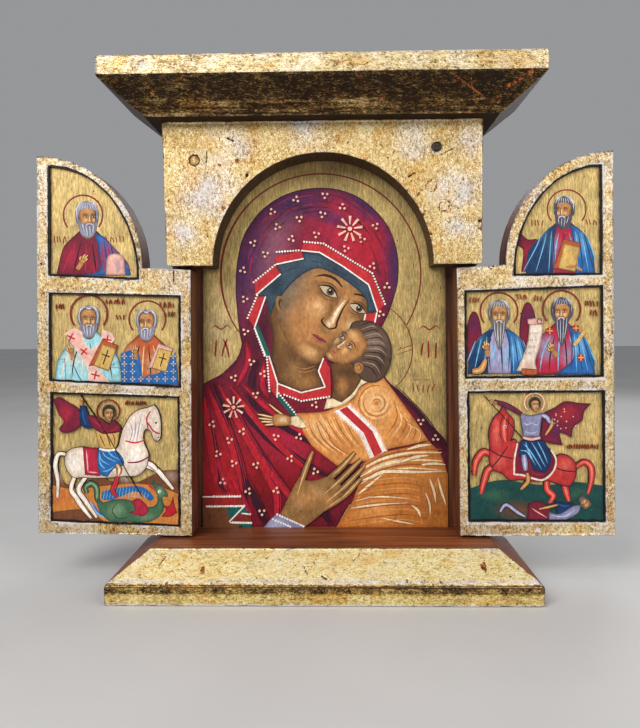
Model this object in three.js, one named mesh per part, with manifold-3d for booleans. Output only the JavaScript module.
// Wooden triptych: a painted panel between a bevelled base and a cornice, with an arched header
// board in front of it and two round-shouldered wings that turn on upright pins.
//
// Units are millimetres. +X is the viewer's right, -Y is the front and +Z is up. The origin is the
// centre of the whole piece in plan, on the underside of the base. The wings stand open flat.

import * as THREE from 'three';
import { mergeVertices } from 'three/addons/utils/BufferGeometryUtils.js';
import Module from 'manifold-3d';

const wasm = await Module();
wasm.setup();

// ---- Driving dimensions ----------------------------------------------------------------------

const ARC_STEPS = 24; // segments in a quarter round
const CORNER_STEPS = 4; // segments in a small rounded corner
const GAP = 0.3; // clearance between a piece and the piece let into it

const BACK = 33; // the flat back of the base, the panel and the cornice
const PANEL_FRONT = 18; // the painted face
const HEADER_FRONT = 0;

const BASE = {
  width: 188.6,
  topWidth: 156.4,
  front: -33,
  topFront: -16.5,
  filletHeight: 9,
  height: 20.1,
  cornerRound: 1.6,
};

const CORNICE = {
  bottom: 217.6,
  underWidth: 164.8,
  width: 199.8,
  underFront: -8,
  front: -24.8,
  bevelHeight: 13.7,
  filletHeight: 9.9,
  cornerRound: 2.6,
};

const PANEL_WIDTH = 152;

const HEADER = {
  topLeft: -76.5,
  topRight: 76,
  footLeft: -74.5,
  footRight: 75.3,
  foot: 149,
  archRadius: 52.3, // half the arch's width
  archRise: 53.4,
  cornerRound: 2.2,
};

const PIVOT = { x: 68.3, y: 5.5 }; // the pins' axis, mirrored for the left wing
const WING_THICKNESS = 14.5;
const PICTURE_DEPTH = 1.3; // how far a picture field is sunk

const PIN = { radius: 1.25, inWood: 10, inWing: 11 };
const PIN_SIDES = 16;

const NAIL = { headRadius: 2.15, headHeight: 0.7, dome: 0.35, shankRadius: 0.9, length: 13 };
const NAIL_SIDES = 24;
const NAIL_PLACES = {
  header_nail_left: { x: -60.9, z: 199.2 },
  header_nail_right: { x: 54.1, z: 204.4 },
};

// Each wing is drawn by how far it reaches from the middle (out) and by its heights. Its level
// lines aren't quite square to its sides, so each has a height at its inner and its outer end.
const LEFT_WING = {
  side: -1,
  innerTop: 62.6,
  innerBottom: 62.6,
  outer: 136,
  bottom: { inner: 21.1, outer: 22.4 },
  shoulder: { inner: 147.0, outer: 148.2 },
  arc: { width: 50.4, top: 201.8 },
  arch: { inner: 87.3, outer: 130.6, top: 197.2, base: { inner: 142.6, outer: 144.8 } },
  fields: [
    { inner: 67.5, outer: 130.4, top: { inner: 134.9, outer: 136.8 }, base: { inner: 91.3, outer: 94.8 } },
    { inner: 68.2, outer: 129.9, top: { inner: 87.1, outer: 89.4 }, base: { inner: 25.6, outer: 28.2 } },
  ],
};

const RIGHT_WING = {
  side: 1,
  innerTop: 62.8,
  innerBottom: 63.8,
  outer: 136,
  bottom: { inner: 21.2, outer: 21.4 },
  shoulder: { inner: 147.0, outer: 148.5 },
  arc: { width: 50.3, top: 201.4 },
  arch: { inner: 89.4, outer: 130.7, top: 194.9, base: { inner: 143.2, outer: 143.4 } },
  fields: [
    { inner: 66.5, outer: 130.9, top: { inner: 136.3, outer: 138.4 }, base: { inner: 95.1, outer: 95.6 } },
    { inner: 67.6, outer: 131.4, top: { inner: 89.0, outer: 89.2 }, base: { inner: 28.0, outer: 28.0 } },
  ],
};

// ---- Materials -------------------------------------------------------------------------------

function finish(color, roughness, metalness) {
  return new THREE.MeshStandardMaterial({ color, roughness, metalness });
}

const giltFinish = finish(0xcdb06a, 0.42, 0.75);
const darkGiltFinish = finish(0x8a6a34, 0.5, 0.6);
const panelFinish = finish(0x8e2a35, 0.5, 0);
const ironFinish = finish(0x4a443e, 0.6, 0.8);

// ---- Helpers ---------------------------------------------------------------------------------

function toSolid(geometry) {
  const bare = geometry.clone();
  bare.deleteAttribute('normal');
  bare.deleteAttribute('uv');
  const merged = mergeVertices(bare, 1e-5);
  return new wasm.Manifold(new wasm.Mesh({
    numProp: 3,
    vertProperties: new Float32Array(merged.attributes.position.array),
    triVerts: new Uint32Array(merged.index.array),
  }));
}

function toGeometry(solid) {
  const { vertProperties, triVerts } = solid.getMesh();
  const geometry = new THREE.BufferGeometry();
  geometry.setAttribute('position', new THREE.BufferAttribute(vertProperties, 3));
  geometry.setIndex(new THREE.BufferAttribute(triVerts, 1));
  geometry.computeVertexNormals();
  return geometry;
}

// Small rounded corners are the only curves left in a shape here, as long arcs are given as points.
function extrude(shape, depth) {
  const options = { depth, bevelEnabled: false, steps: 1, curveSegments: CORNER_STEPS };
  return new THREE.ExtrudeGeometry(shape, options);
}

// A board whose outline is drawn in X and Z, between two depths.
function board(shape, front, back) {
  const geometry = extrude(shape, back - front);
  geometry.rotateX(Math.PI / 2);
  geometry.translate(0, back, 0);
  return geometry;
}

// A length of moulding whose profile is drawn in Y and Z, centred on X = 0.
function moulding(profile, width) {
  const geometry = extrude(profile, width);
  const [x, y, z] = [new THREE.Vector3(0, 1, 0), new THREE.Vector3(0, 0, 1), new THREE.Vector3(1, 0, 0)];
  geometry.applyMatrix4(new THREE.Matrix4().makeBasis(x, y, z));
  geometry.translate(-width / 2, 0, 0);
  return geometry;
}

// A closed outline through corners, each { x, y, round }, with round corners drawn as curves.
function outline(corners) {
  const shape = new THREE.Shape();
  corners.forEach((corner, i) => {
    const here = new THREE.Vector2(corner.x, corner.y);
    const before = corners.at(i - 1);
    const after = corners[(i + 1) % corners.length];
    const reach = corner.round ?? 0;
    const start = here.clone().sub(before).setLength(reach).negate().add(here);
    const end = new THREE.Vector2(after.x, after.y).sub(here).setLength(reach).add(here);
    if (i === 0) shape.moveTo(start.x, start.y);
    else shape.lineTo(start.x, start.y);
    if (reach > 0) shape.quadraticCurveTo(here.x, here.y, end.x, end.y);
  });
  shape.closePath();
  return shape;
}

function uprightHole(x, y, low, high) {
  const hole = new THREE.CylinderGeometry(PIN.radius + GAP, PIN.radius + GAP, high - low, PIN_SIDES);
  hole.rotateX(Math.PI / 2);
  hole.translate(x, y, (low + high) / 2);
  return toSolid(hole);
}

function mesh(name, geometry, material) {
  const made = new THREE.Mesh(geometry, material);
  made.name = name;
  return made;
}

// The height of a slightly sloping line, at a distance from the middle.
function heightAt(line, innerX, outerX, x) {
  return THREE.MathUtils.mapLinear(x, innerX, outerX, line.inner, line.outer);
}

// ---- Heights where the wings meet the pins ---------------------------------------------------

function shoulderAtPivot(wing) {
  return heightAt(wing.shoulder, wing.innerTop, wing.outer - wing.arc.width, PIVOT.x);
}

function bottomAtPivot(wing) {
  return heightAt(wing.bottom, wing.innerBottom, wing.outer, PIVOT.x);
}

// ---- Fixed boards ----------------------------------------------------------------------------

// The base: a fillet with a wide bevel above it on the front and both sides.
function makeBase() {
  const { width, topWidth, front, topFront, filletHeight, height, cornerRound } = BASE;
  const fromSide = outline([
    { x: BACK, y: 0 },
    { x: BACK, y: height },
    { x: topFront, y: height },
    { x: front, y: filletHeight, round: cornerRound },
    { x: front, y: 0, round: cornerRound / 2 },
  ].reverse());
  const fromFront = outline([
    { x: -width / 2, y: 0, round: cornerRound / 2 },
    { x: width / 2, y: 0, round: cornerRound / 2 },
    { x: width / 2, y: filletHeight, round: cornerRound },
    { x: topWidth / 2, y: height },
    { x: -topWidth / 2, y: height },
    { x: -width / 2, y: filletHeight, round: cornerRound },
  ]);
  let solid = toSolid(moulding(fromSide, width)).intersect(toSolid(board(fromFront, front, BACK)));
  for (const wing of [LEFT_WING, RIGHT_WING]) {
    const hole = uprightHole(wing.side * PIVOT.x, PIVOT.y, height - PIN.inWood - GAP, height + 1);
    solid = solid.subtract(hole);
  }
  return mesh('base', toGeometry(solid), giltFinish);
}

// The cornice: the same moulding turned over, with a bevel under its fillet.
function makeCornice() {
  const { bottom, underWidth, width, underFront, front, bevelHeight, filletHeight, cornerRound } = CORNICE;
  const filletBottom = bottom + bevelHeight;
  const top = filletBottom + filletHeight;
  const fromSide = outline([
    { x: BACK, y: bottom },
    { x: BACK, y: top },
    { x: front, y: top, round: cornerRound },
    { x: front, y: filletBottom, round: cornerRound / 2 },
    { x: underFront, y: bottom },
  ].reverse());
  const fromFront = outline([
    { x: -underWidth / 2, y: bottom },
    { x: underWidth / 2, y: bottom },
    { x: width / 2, y: filletBottom, round: cornerRound / 2 },
    { x: width / 2, y: top, round: cornerRound },
    { x: -width / 2, y: top, round: cornerRound },
    { x: -width / 2, y: filletBottom, round: cornerRound / 2 },
  ]);
  const solid = toSolid(moulding(fromSide, width)).intersect(toSolid(board(fromFront, front, BACK)));
  return mesh('cornice', toGeometry(solid), darkGiltFinish);
}

function makePanel() {
  const height = CORNICE.bottom - BASE.height;
  const geometry = new THREE.BoxGeometry(PANEL_WIDTH, BACK - PANEL_FRONT, height);
  geometry.translate(0, (BACK + PANEL_FRONT) / 2, BASE.height + height / 2);
  return mesh('picture_panel', geometry, panelFinish);
}

// The header: a board with a half-round arch, on two legs that hold the wings' upper pins.
function makeHeader() {
  const { topLeft, topRight, footLeft, footRight, foot, archRadius, archRise, cornerRound } = HEADER;
  const arch = [];
  for (let i = 0; i <= 2 * ARC_STEPS; i += 1) {
    const turn = (i / ARC_STEPS) * (Math.PI / 2);
    arch.push({ x: -archRadius * Math.cos(turn), y: foot + archRise * Math.sin(turn) });
  }
  const shape = outline([
    { x: topLeft, y: CORNICE.bottom },
    { x: footLeft, y: foot, round: cornerRound },
    ...arch,
    { x: footRight, y: foot, round: cornerRound },
    { x: topRight, y: CORNICE.bottom },
  ]);
  let solid = toSolid(board(shape, HEADER_FRONT, PANEL_FRONT));
  for (const side of [-1, 1]) {
    solid = solid.subtract(uprightHole(side * PIVOT.x, PIVOT.y, foot - 1, foot + PIN.inWood + GAP));
  }
  for (const { x, z } of Object.values(NAIL_PLACES)) {
    solid = solid.subtract(toSolid(nailGeometry(x, z, GAP)));
  }
  return mesh('arched_header', toGeometry(solid), giltFinish);
}

// ---- Nails and pins --------------------------------------------------------------------------

// A nail driven straight in from the header's face. Room makes the hole that it sits in.
function nailGeometry(x, z, room) {
  const head = NAIL.headRadius + room;
  const shank = NAIL.shankRadius + room;
  const proud = room > 0 ? 1 : 0.3; // the head stands a little proud, and its hole runs out of the face
  const profile = [
    new THREE.Vector2(0, -NAIL.length - room),
    new THREE.Vector2(shank * 0.5, -NAIL.length - room),
    new THREE.Vector2(shank, -NAIL.length + 2 - room),
    new THREE.Vector2(shank, -NAIL.headHeight - room),
    new THREE.Vector2(head, -NAIL.headHeight - room),
    new THREE.Vector2(head, proud - NAIL.dome),
    new THREE.Vector2(head * 0.55, proud - NAIL.dome * 0.3),
    new THREE.Vector2(0, proud),
  ];
  const geometry = new THREE.LatheGeometry(profile, NAIL_SIDES);
  geometry.rotateX(Math.PI); // the lathe's axis then points out of the header's face, to -Y
  geometry.translate(x, HEADER_FRONT, z);
  return geometry;
}

function makeNails() {
  return Object.entries(NAIL_PLACES).map(([name, { x, z }]) => {
    const material = name.endsWith('left') ? giltFinish : ironFinish;
    return mesh(name, toGeometry(toSolid(nailGeometry(x, z, 0))), material);
  });
}

function makePin(name, wing, low, high) {
  const geometry = new THREE.CylinderGeometry(PIN.radius, PIN.radius, high - low, PIN_SIDES);
  const pin = mesh(name, geometry, ironFinish);
  pin.rotation.x = Math.PI / 2;
  pin.position.set(wing.side * PIVOT.x, PIVOT.y, (low + high) / 2);
  return pin;
}

function makePins(wing) {
  const word = wing.side < 0 ? 'left' : 'right';
  const shoulder = shoulderAtPivot(wing);
  const bottom = bottomAtPivot(wing);
  return [
    makePin(`${word}_top_pin`, wing, shoulder - PIN.inWing, HEADER.foot + PIN.inWood),
    makePin(`${word}_bottom_pin`, wing, BASE.height - PIN.inWood, bottom + PIN.inWing),
  ];
}

// ---- Wings -----------------------------------------------------------------------------------

// Points of a quarter ellipse from its top, at the outer end, down to its foot.
function quarterArc(outer, foot, top, width) {
  const points = [];
  for (let i = 0; i <= ARC_STEPS; i += 1) {
    const turn = (i / ARC_STEPS) * (Math.PI / 2);
    points.push([outer - width * Math.sin(turn), foot + (top - foot) * Math.cos(turn)]);
  }
  return points;
}

function wingShape(points, side) {
  return new THREE.Shape(points.map(([out, up]) => new THREE.Vector2(side * out, up)));
}

function wingOutline(wing) {
  const { innerTop, innerBottom, outer, bottom, shoulder, arc } = wing;
  return [
    [innerBottom, bottom.inner],
    [outer, bottom.outer],
    ...quarterArc(outer, shoulder.outer, arc.top, arc.width),
    [innerTop, shoulder.inner],
  ];
}

function archField({ inner, outer, top, base }) {
  const spring = base.inner + 1;
  return [[inner, base.inner], [outer, base.outer], ...quarterArc(outer, spring, top, outer - inner)];
}

function squareField({ inner, outer, top, base }) {
  return [[inner, base.inner], [outer, base.outer], [outer, top.outer], [inner, top.inner]];
}

// A shutter with three sunk picture fields on its inside and a blind hole for each pin.
function makeWing(name, wing) {
  const front = PIVOT.y - WING_THICKNESS / 2;
  const back = PIVOT.y + WING_THICKNESS / 2;
  let solid = toSolid(board(wingShape(wingOutline(wing), wing.side), front, back));
  const fields = [archField(wing.arch), ...wing.fields.map(squareField)];
  for (const field of fields) {
    const sunk = board(wingShape(field, wing.side), front - 1, front + PICTURE_DEPTH);
    solid = solid.subtract(toSolid(sunk));
  }
  const x = wing.side * PIVOT.x;
  const shoulder = shoulderAtPivot(wing);
  const bottom = bottomAtPivot(wing);
  solid = solid.subtract(uprightHole(x, PIVOT.y, shoulder - PIN.inWing - GAP, shoulder + 1));
  solid = solid.subtract(uprightHole(x, PIVOT.y, bottom - 1, bottom + PIN.inWing + GAP));
  return mesh(name, toGeometry(solid), giltFinish);
}

// ---- The whole piece -------------------------------------------------------------------------

function makeTriptych() {
  const triptych = new THREE.Group();
  triptych.name = 'triptych';
  triptych.add(makeBase(), makePanel(), makeHeader(), makeCornice(), ...makeNails());
  triptych.add(makeWing('left_wing', LEFT_WING), makeWing('right_wing', RIGHT_WING));
  triptych.add(...makePins(LEFT_WING), ...makePins(RIGHT_WING));
  return triptych;
}

export default makeTriptych();
